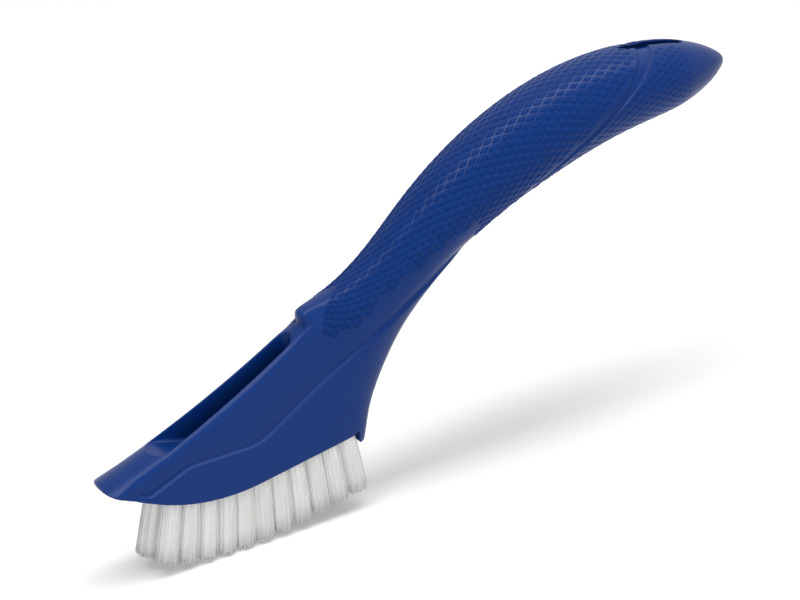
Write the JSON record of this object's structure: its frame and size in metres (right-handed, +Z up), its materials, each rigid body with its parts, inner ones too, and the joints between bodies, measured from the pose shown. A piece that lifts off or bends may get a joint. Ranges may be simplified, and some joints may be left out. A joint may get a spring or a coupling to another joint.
{
  "type": "grout brush",
  "caption": "Hand-held grout brush: narrow wedge-shaped head with staple-set bristle tufts, an arched grip with a fine raised texture, and a hang slot through the tail.",
  "frame": {"origin": "centre of the bounding box in X and Y, at the level of the lowest bristle tips", "axes": "+X along the brush from the nose to the tail, +Y across it, +Z up"},
  "size_m": [0.2166, 0.0268, 0.119],
  "materials": {
    "moulded_plastic": "satin",
    "nylon_filament": "satin",
    "anchor_wire": "bright wire"
  },
  "bodies": {
    "root": {"brush_body": "moulded_plastic", "tuft_anchors": "anchor_wire", "tuft_middle_01": "nylon_filament", "tuft_middle_02": "nylon_filament", "tuft_middle_03": "nylon_filament", "tuft_middle_04": "nylon_filament", "tuft_middle_05": "nylon_filament", "tuft_middle_06": "nylon_filament", "tuft_middle_07": "nylon_filament", "tuft_middle_08": "nylon_filament", "tuft_middle_09": "nylon_filament", "tuft_middle_10": "nylon_filament", "tuft_middle_11": "nylon_filament", "tuft_left_01": "nylon_filament", "tuft_left_02": "nylon_filament", "tuft_left_03": "nylon_filament", "tuft_left_04": "nylon_filament", "tuft_left_05": "nylon_filament", "tuft_left_06": "nylon_filament", "tuft_left_07": "nylon_filament", "tuft_left_08": "nylon_filament", "tuft_left_09": "nylon_filament", "tuft_left_10": "nylon_filament", "tuft_left_11": "nylon_filament", "tuft_right_01": "nylon_filament", "tuft_right_02": "nylon_filament", "tuft_right_03": "nylon_filament", "tuft_right_04": "nylon_filament", "tuft_right_05": "nylon_filament", "tuft_right_06": "nylon_filament", "tuft_right_07": "nylon_filament", "tuft_right_08": "nylon_filament", "tuft_right_09": "nylon_filament", "tuft_right_10": "nylon_filament", "tuft_right_11": "nylon_filament"}
  },
  "joints": []
}
